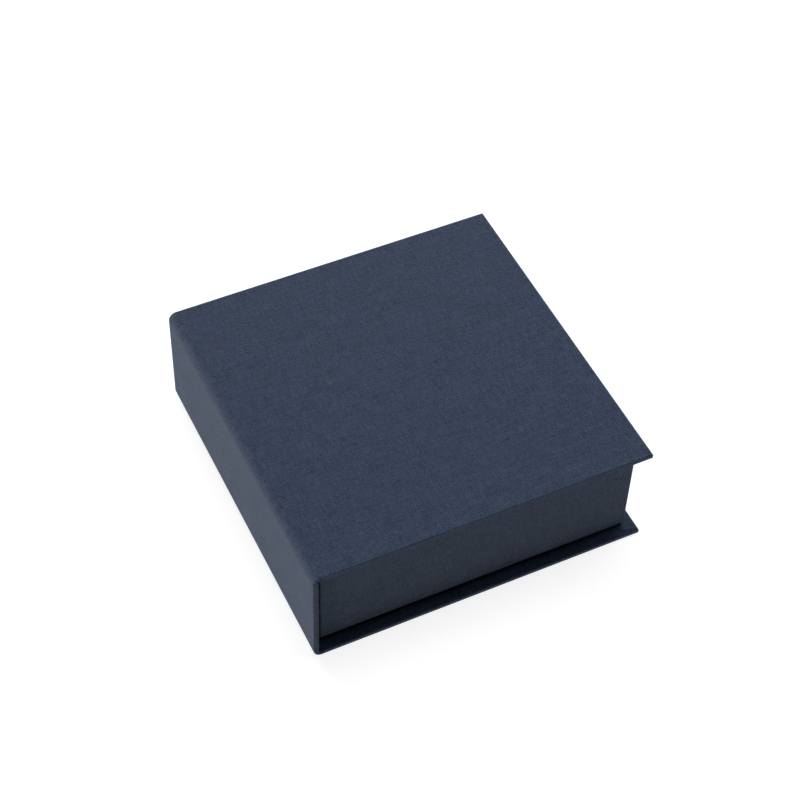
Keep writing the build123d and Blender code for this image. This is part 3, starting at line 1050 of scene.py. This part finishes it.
def make_floor():
    mesh = bpy.data.meshes.new("floor")
    corners = [(x * FLOOR_HALF, y * FLOOR_HALF, 0) for x, y in ((-1, -1), (1, -1), (1, 1), (-1, 1))]
    mesh.from_pydata(corners, [], [(0, 1, 2, 3)])
    floor = bpy.data.objects.new("floor", mesh)
    floor.location.z = -FLOOR_DROP
    tree = Tree("floor_paper")
    x, y, z = tree.solid_place()
    tone = tree.noise(tree.at(x, y, z), scale=3, detail=1)
    tone = tree.math("MULTIPLY_ADD", tone, 0.02, 0.99)
    tree.links.new(tree.times(FLOOR_COLOUR, tone), tree.shader.inputs["Base Color"])
    tree.shader.inputs["Emission Color"].default_value = (1.0, 1.0, 1.0, 1.0)
    tree.shader.inputs["Emission Strength"].default_value = FLOOR_GLOW
    tree.shader.inputs["Roughness"].default_value = 1.0
    tree.shader.inputs["Specular IOR Level"].default_value = 0.0
    mesh.materials.append(tree.material)
    bpy.context.scene.collection.objects.link(floor)
    floor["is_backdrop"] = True


def aim(light, azimuth, elevation):
    """Points a sun so that its light comes from an azimuth, from +X towards +Y, and elevation, in degrees."""
    a, e = math.radians(azimuth), math.radians(elevation)
    towards = Vector((math.cos(a) * math.cos(e), math.sin(a) * math.cos(e), math.sin(e)))
    light.rotation_mode = "QUATERNION"
    light.rotation_quaternion = towards.to_track_quat("Z", "Y")


def make_sun(name, azimuth, elevation, strength, width):
    """A soft light that is as wide, in degrees, as a studio's softbox looks from the box."""
    data = bpy.data.lights.new(name, "SUN")
    data.energy = strength
    data.angle = math.radians(width)
    light = bpy.data.objects.new(name, data)
    aim(light, azimuth, elevation)
    bpy.context.scene.collection.objects.link(light)


def make_light():
    make_sun("back_softbox", azimuth=93, elevation=12, strength=5.4, width=42)
    make_sun("overhead_softbox", azimuth=37, elevation=72, strength=2.29, width=44)
    make_sun("spine_softbox", azimuth=172, elevation=8, strength=1.15, width=40)
    world = bpy.data.worlds.new("studio")
    world.use_nodes = True
    world.node_tree.nodes["Background"].inputs["Color"].default_value = (1.0, 1.0, 1.0, 1.0)
    # a white room for the camera, that doesn't fill the shadows
    world.cycles_visibility.diffuse = False
    world.cycles_visibility.glossy = False
    bpy.context.scene.world = world


# ---- Build ----

make_camera()
bpy.context.scene.view_settings.view_transform = "Standard"

cover = book_cloth("cover_cloth", COVER_COLOUR, edge_highlight=True)
joint = book_cloth("joint_cloth", COVER_COLOUR, contrast=1.1)
spine = book_cloth("spine_cloth", COVER_COLOUR, contrast=1.7)
tray = book_cloth("tray_cloth", TRAY_COLOUR, contrast=1.45)
inside = book_cloth("liner_cloth", LINER_COLOUR)
paper = lining_paper("lining_paper", PAPER_COLOUR)
board = grey_board("greyboard", BOARD_COLOUR)

lid_cover = case_cover("lid_cover", TOP_Z, -1)
base_cover = case_cover("base_cover", 0.0, 1)
spine_wrap = spine_cover()
lower_joint = joint_cloth("lower_joint", 0.0, 1)
upper_joint = joint_cloth("upper_joint", TOP_Z, -1)
lower_liner = joint_liner("lower_joint_lining", 0.0, 1)
upper_liner = joint_liner("upper_joint_lining", TOP_Z, -1)
base_flap = liner_flap("base_flap", 0.0, 1)
lid_flap = liner_flap("lid_flap", TOP_Z, -1)
spine_lining = spine_liner()
base_tray = base_tray_cloth()
lid_tray = lid_tray_cloth()
base_paper = lining("base_lining", "base_tray_lining", 1)
lid_paper = lining("lid_lining", "lid_tray_lining", -1)

for piece in (base_cover, base_flap, base_tray, base_paper):
    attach(piece, "base")
for piece in (spine_wrap, spine_lining):
    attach(piece, "spine")
for piece in (lid_cover, lid_flap, lid_tray, lid_paper):
    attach(piece, "lid")
for piece in (lower_joint, lower_liner):
    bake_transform(piece)
for piece in (upper_joint, upper_liner):
    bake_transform(piece)

finish_piece(lid_cover, cover, "cover_cloth", "lid_cover_cloth")
finish_piece(base_cover, cover, "cover_cloth", "base_cover_cloth")
finish_piece(spine_wrap, spine, "cover_cloth", "spine_cover_cloth")
finish_piece(lower_joint, joint, "cover_cloth", "lower_joint_cloth")
finish_piece(upper_joint, joint, "cover_cloth", "upper_joint_cloth")
finish_piece(lower_liner, inside, "liner_cloth", "lower_joint_liner")
finish_piece(upper_liner, inside, "liner_cloth", "upper_joint_liner")
finish_piece(base_flap, inside, "liner_cloth", "base_liner_flap")
finish_piece(lid_flap, inside, "liner_cloth", "lid_liner_flap")
finish_piece(spine_lining, inside, "liner_cloth", "spine_liner")
finish_piece(base_tray, tray, "tray_cloth", "base_tray_cloth")
finish_piece(lid_tray, tray, "tray_cloth", "lid_tray_cloth")
finish_piece(base_paper, paper, "lining_paper", "base_tray_lining")
finish_piece(lid_paper, paper, "lining_paper", "lid_tray_lining")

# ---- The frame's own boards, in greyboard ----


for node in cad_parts.values():
    if not node.hide_render:
        node.data.materials.clear()
        node.data.materials.append(board)

make_floor()
make_light()

low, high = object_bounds()
